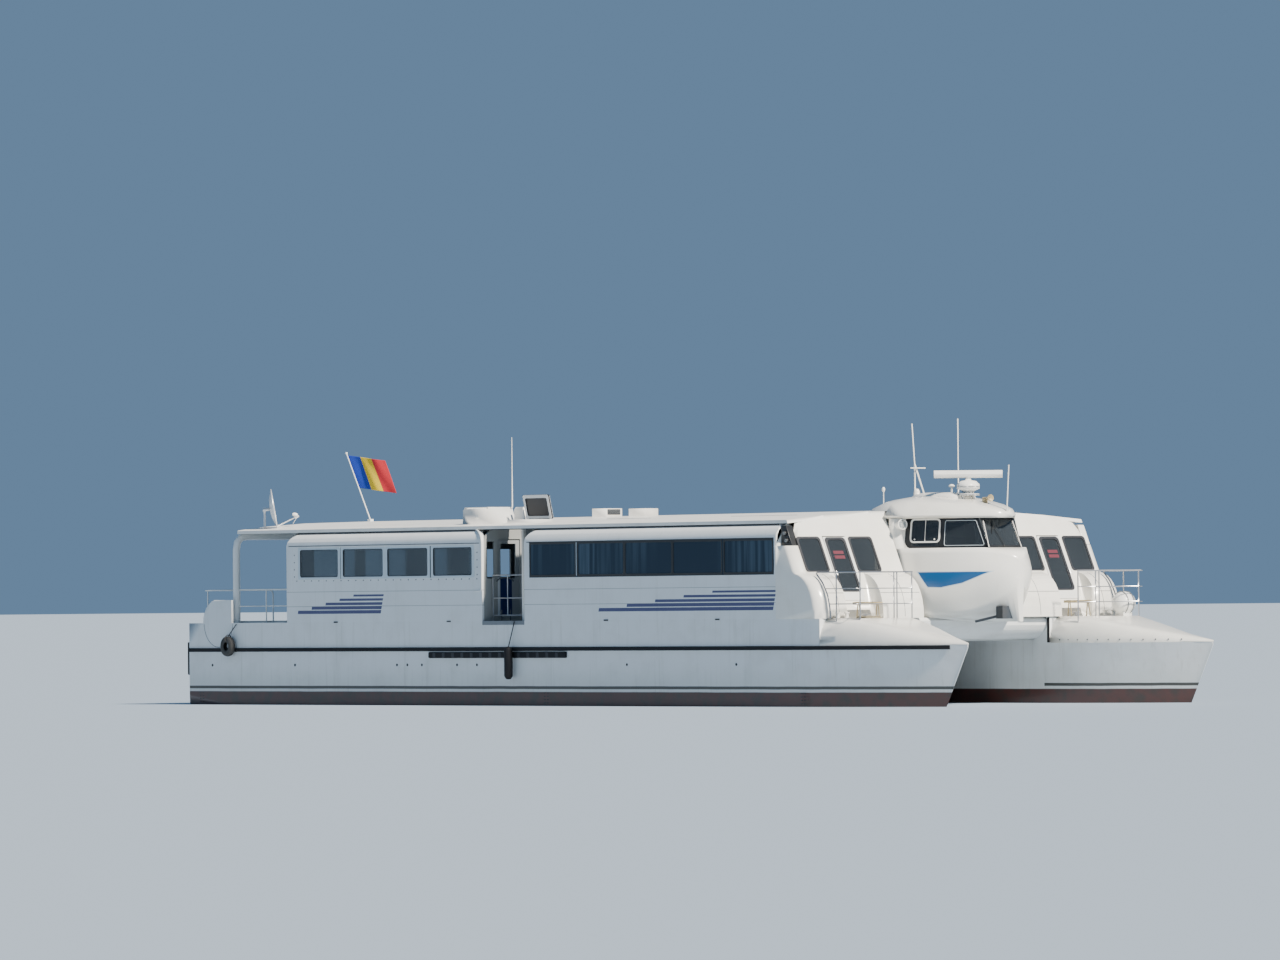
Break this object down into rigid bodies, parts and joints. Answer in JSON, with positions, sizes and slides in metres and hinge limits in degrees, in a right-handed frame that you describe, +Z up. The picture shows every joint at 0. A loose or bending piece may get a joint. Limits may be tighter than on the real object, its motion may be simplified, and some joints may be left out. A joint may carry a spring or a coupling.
{
  "type": "catamaran passenger ferry",
  "caption": "Catamaran passenger ferry with two saloons under one roof, a round wheelhouse pod between the bows, raked front walls, railed foredecks and an open aft deck.",
  "frame": {"origin": "on the waterline and the centreline, 15.0 m aft of the stem heads", "axes": "+X towards the bow, +Y to port, +Z up"},
  "size_m": [29.67, 9.7509, 8.09],
  "materials": {
    "white_paint": "gloss marine paint",
    "deck_paint": "non-slip deck paint",
    "gelcoat": "polished gelcoat",
    "rubber": "matt black rubber",
    "window_glass": "tinted",
    "stainless": "polished tube",
    "aluminium": "satin",
    "cast_iron": "galvanised, weathered",
    "bronze": "machined bronze",
    "engine_paint": "satin grey green",
    "navy_paint": "satin",
    "beige_plastic": "matt",
    "white_plastic": "moulded",
    "tyre": "worn",
    "seat_fabric": "woven",
    "flag_cloth": "woven",
    "rope": "laid mooring rope, weathered"
  },
  "bodies": {
    "ferry": {"hull_starboard": "white_paint", "hull_port": "white_paint", "rubbing_strake_starboard": "rubber", "rubbing_strake_port": "rubber", "foredeck_starboard": "gelcoat", "foredeck_port": "gelcoat", "bridge_deck": "white_paint", "engine_starboard": "engine_paint", "engine_port": "engine_paint", "shaft_starboard": "bronze", "shaft_port": "bronze", "aft_saloon_side_starboard": "white_paint", "aft_saloon_side_port": "white_paint", "forward_saloon_side_starboard": "white_paint", "forward_saloon_side_port": "white_paint", "aft_glass_starboard": "window_glass", "aft_glass_port": "window_glass", "forward_glass_starboard": "window_glass", "forward_glass_port": "window_glass", "front_wall_starboard": "gelcoat", "front_wall_port": "gelcoat", "front_glass_starboard": "window_glass", "front_glass_port": "window_glass", "aft_bulkhead": "white_paint", "lobby_aft_bulkhead": "white_paint", "lobby_forward_bulkhead": "white_paint", "roof": "white_paint", "wheelhouse_shell": "gelcoat", "wheelhouse_glass": "window_glass", "wheelhouse_roof": "gelcoat", "radar_pedestal": "white_plastic", "anchor": "cast_iron", "foredeck_rail_starboard": "stainless", "foredeck_rail_port": "stainless", "step_board_starboard": "beige_plastic", "step_board_port": "beige_plastic", "liferaft": "beige_plastic", "mooring_rope": "rope", "stern_arch": "white_paint", "dish": "aluminium", "ensign_staff": "white_paint", "flag": "flag_cloth", "tyre_fender": "tyre", "rope_fender": "beige_plastic", "seats_aft": "seat_fabric", "seats_forward": "seat_fabric"},
    "starboard_propeller": {"propeller_starboard": "bronze"},
    "port_propeller": {"propeller_port": "bronze"},
    "starboard_rudder": {"rudder_starboard": "bronze"},
    "port_rudder": {"rudder_port": "bronze"},
    "scanner": {"radar_scanner": "white_plastic"},
    "starboard_front_door": {"front_door_starboard": "white_paint"},
    "port_front_door": {"front_door_port": "white_paint"},
    "aft_deck_door": {"aft_door": "white_paint"},
    "inner_lobby_door": {"lobby_door": "navy_paint"},
    "starboard_gate": {"boarding_gate_starboard": "stainless"},
    "port_gate": {"boarding_gate_port": "stainless"},
    "starboard_engine_lid": {"engine_lid_starboard": "deck_paint"},
    "port_engine_lid": {"engine_lid_port": "deck_paint"},
    "hatch_lid": {"roof_hatch_lid": "window_glass"}
  },
  "joints": [
    {"name": "starboard_propeller_spin", "type": "hinge", "parent": "ferry", "child": "starboard_propeller", "pos_m": [-13.15, -3.76, -0.95], "axis": [1, 0, 0], "continuous": true},
    {"name": "port_propeller_spin", "type": "hinge", "parent": "ferry", "child": "port_propeller", "pos_m": [-13.15, 3.76, -0.95], "axis": [1, 0, 0], "continuous": true},
    {"name": "starboard_rudder_turn", "type": "hinge", "parent": "ferry", "child": "starboard_rudder", "pos_m": [-14.15, -3.76, -0.9], "axis": [0, 0, 1], "range_deg": [-35, 35]},
    {"name": "port_rudder_turn", "type": "hinge", "parent": "ferry", "child": "port_rudder", "pos_m": [-14.15, 3.76, -0.9], "axis": [0, 0, 1], "range_deg": [-35, 35]},
    {"name": "radar_spin", "type": "hinge", "parent": "ferry", "child": "scanner", "pos_m": [10.54, 0, 5.445], "axis": [0, 0, 1], "continuous": true},
    {"name": "starboard_front_door_swing", "type": "hinge", "parent": "ferry", "child": "starboard_front_door", "pos_m": [9.92652, -2.945, 3.2], "axis": [-0.4472, 0, 0.8944], "range_deg": [0, 90]},
    {"name": "port_front_door_swing", "type": "hinge", "parent": "ferry", "child": "port_front_door", "pos_m": [9.92652, 2.945, 3.2], "axis": [0.4472, 0, -0.8944], "range_deg": [0, 90]},
    {"name": "aft_deck_door_swing", "type": "hinge", "parent": "ferry", "child": "aft_deck_door", "pos_m": [-10.47, 0.44, 3.1], "axis": [0, 0, -1], "range_deg": [0, 90]},
    {"name": "inner_lobby_door_swing", "type": "hinge", "parent": "ferry", "child": "inner_lobby_door", "pos_m": [-2.4003, -4.25, 3.1], "axis": [0, 0, 1], "range_deg": [0, 90]},
    {"name": "starboard_gate_swing", "type": "hinge", "parent": "ferry", "child": "starboard_gate", "pos_m": [-2.25, -4.44, 2.6], "axis": [0, 0, 1], "range_deg": [0, 90]},
    {"name": "port_gate_swing", "type": "hinge", "parent": "ferry", "child": "port_gate", "pos_m": [-2.25, 4.44, 2.6], "axis": [0, 0, -1], "range_deg": [0, 90]},
    {"name": "starboard_engine_lid_lift", "type": "hinge", "parent": "ferry", "child": "starboard_engine_lid", "pos_m": [-12.1, -4.32, 2.0603], "axis": [1, 0, 0], "range_deg": [0, 85]},
    {"name": "port_engine_lid_lift", "type": "hinge", "parent": "ferry", "child": "port_engine_lid", "pos_m": [-12.1, 4.32, 2.0603], "axis": [-1, 0, 0], "range_deg": [0, 85]},
    {"name": "hatch_lid_close", "type": "hinge", "parent": "ferry", "child": "hatch_lid", "pos_m": [-1.86, -3.3, 4.54521], "axis": [1, 0, 0], "range_deg": [0, 78]}
  ],
  "couplings": [
    {"joint": "port_rudder_turn", "follows": "starboard_rudder_turn", "ratio": 1}
  ]
}
